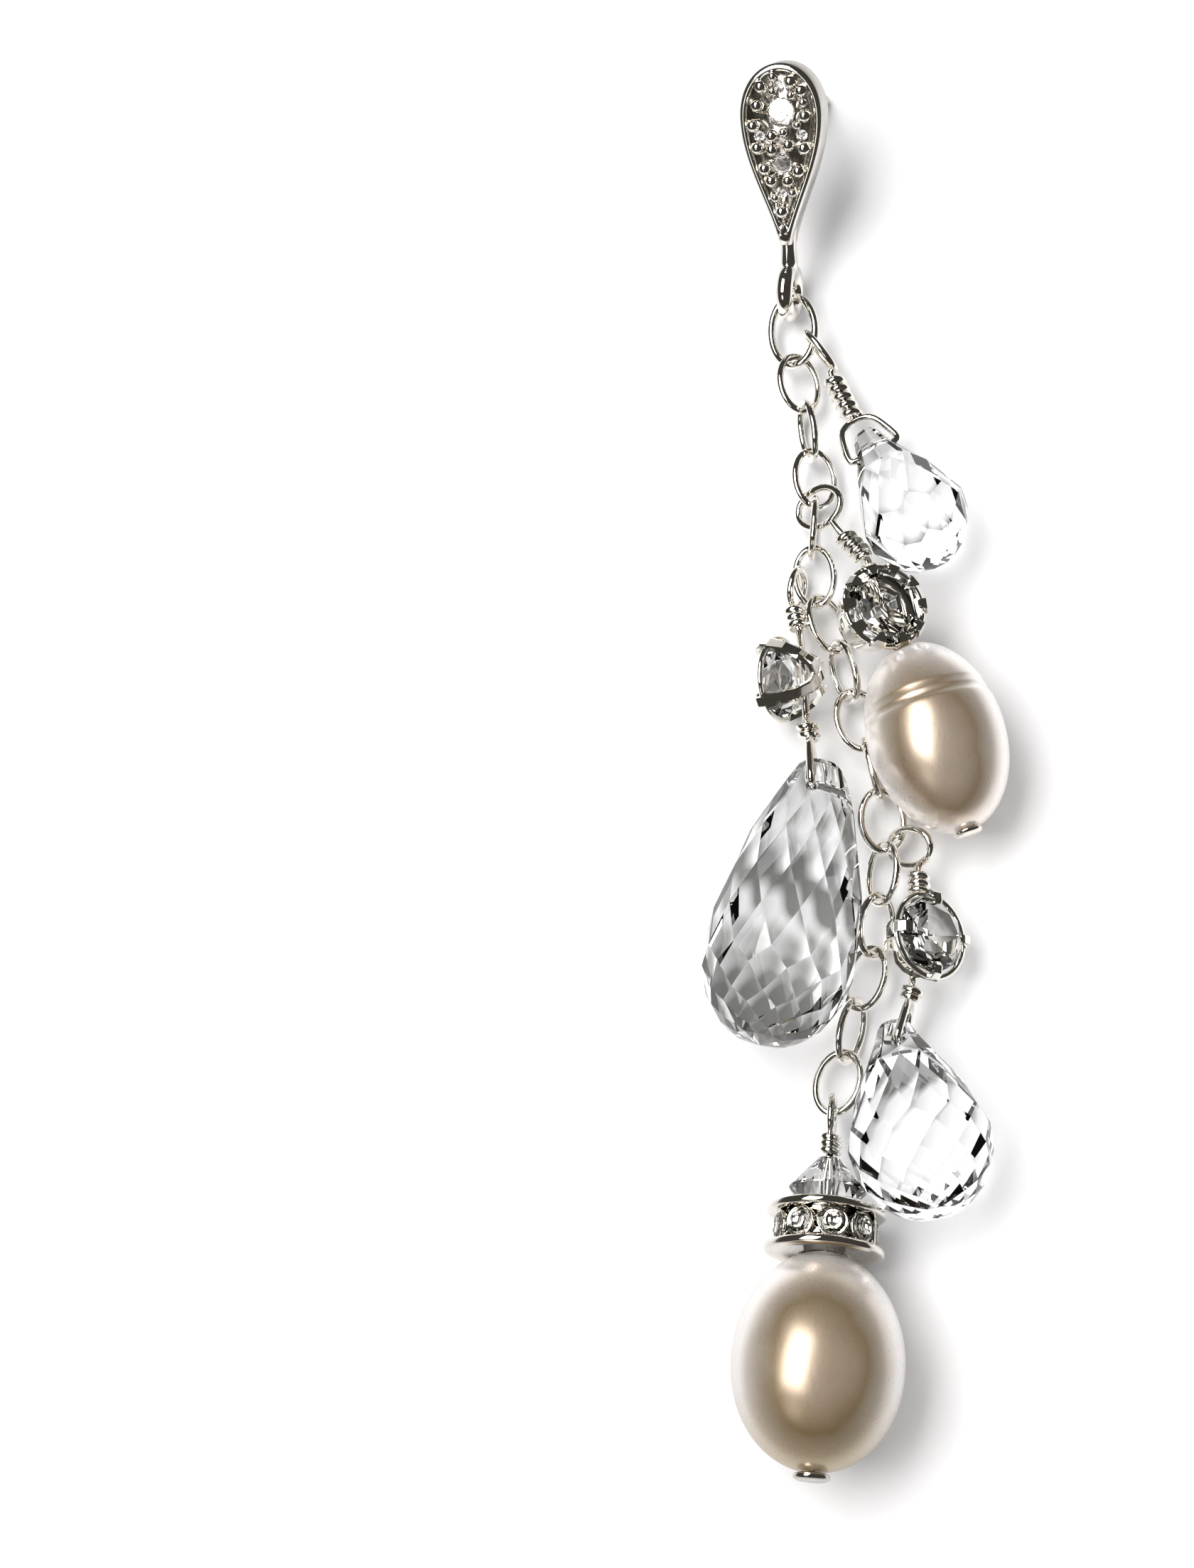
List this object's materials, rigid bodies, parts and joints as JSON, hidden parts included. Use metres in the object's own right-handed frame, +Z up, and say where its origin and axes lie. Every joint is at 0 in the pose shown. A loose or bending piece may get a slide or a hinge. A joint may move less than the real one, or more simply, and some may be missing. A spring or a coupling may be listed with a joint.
{
  "type": "chandelier earring",
  "caption": "Long ear stud drop lying face up: a paved teardrop stud and a fine oval link chain hung with wire-wrapped faceted drops, claw-set crystals and pearls.",
  "frame": {"origin": "on the surface that the earring lies on, under the middle of its bounding box", "axes": "+Z up from the surface, +Y along the chain towards the stud, +X to the right of the stud seen from above"},
  "size_m": [0.0156, 0.0766, 0.0094],
  "materials": {
    "silver": "polished silver",
    "pave": "small clear stones set close in bright beads",
    "crystal": "clear faceted crystal",
    "chaton": "clear round stones, foiled behind",
    "pearl": "satin nacre, cream with a warm cast"
  },
  "bodies": {
    "root": {"ear_stud": "silver", "pave_field": "pave", "top_ring": "silver", "chain_link_01": "silver", "chain_link_02": "silver", "chain_link_03": "silver", "chain_link_04": "silver", "chain_link_05": "silver", "chain_link_06": "silver", "chain_link_07": "silver", "chain_link_08": "silver", "chain_link_09": "silver", "chain_link_10": "silver", "chain_link_11": "silver", "chain_link_12": "silver", "chain_link_13": "silver", "chain_link_14": "silver", "chain_link_15": "silver", "small_drop_wire": "silver", "small_drop": "crystal", "long_drop_wire": "silver", "long_drop": "crystal", "round_drop_wire": "silver", "round_drop": "crystal", "side_setting": "silver", "side_stone": "chaton", "long_setting": "silver", "long_stone": "chaton", "round_setting": "silver", "round_stone": "chaton", "side_pearl_wire": "silver", "side_pearl": "pearl", "main_headpin": "silver", "crystal_bicone": "crystal", "rondelle": "silver", "main_pearl": "pearl"}
  },
  "joints": []
}
